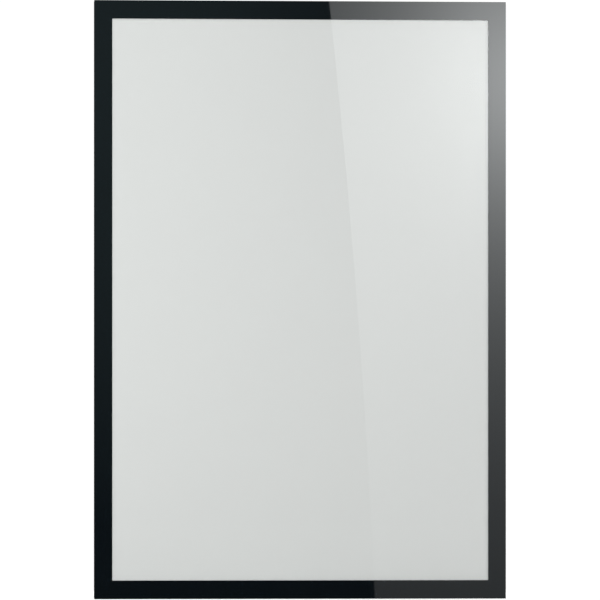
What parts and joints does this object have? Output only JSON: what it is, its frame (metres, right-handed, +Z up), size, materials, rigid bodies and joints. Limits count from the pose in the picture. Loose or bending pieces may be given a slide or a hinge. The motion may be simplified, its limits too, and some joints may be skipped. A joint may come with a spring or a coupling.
{
  "type": "magnetic display frame",
  "caption": "Flat self-adhesive poster frame with a black border and a clear magnetic front that folds open on a film hinge along its left edge.",
  "frame": {"origin": "middle of the frame on the wall plane, which is the rear face of the mounting tape", "axes": "+X to the viewer's right, +Y from the front into the wall, +Z up along the long side"},
  "size_m": [0.4463, 0.0024, 0.62],
  "materials": {
    "border_gloss": "mirror-gloss blue-black film",
    "window_clear": "clear sheet, low reflection",
    "panel_frosted": "pale frosted sheet",
    "film_satin": "satin black film",
    "magnet": "matte dark flexible magnet",
    "tape": "off-white mounting tape"
  },
  "bodies": {
    "back": {"back_panel": "panel_frosted", "back_border": "film_satin", "back_magnet_top": "magnet", "back_magnet_bottom": "magnet", "back_magnet_left": "magnet", "back_magnet_right": "magnet", "adhesive_strip_top": "tape", "adhesive_strip_bottom": "tape", "adhesive_strip_left": "tape", "adhesive_strip_right": "tape", "hinge_film": "film_satin"},
    "cover": {"front_border": "border_gloss", "front_window": "window_clear", "front_magnet_top": "magnet", "front_magnet_bottom": "magnet", "front_magnet_left": "magnet", "front_magnet_right": "magnet"}
  },
  "joints": [
    {"name": "cover_hinge", "type": "hinge", "parent": "back", "child": "cover", "pos_m": [-0.22315, -0.0014, 0], "axis": [0, 0, -1], "range_deg": [0, 180], "deforming": ["hinge_film"]}
  ]
}
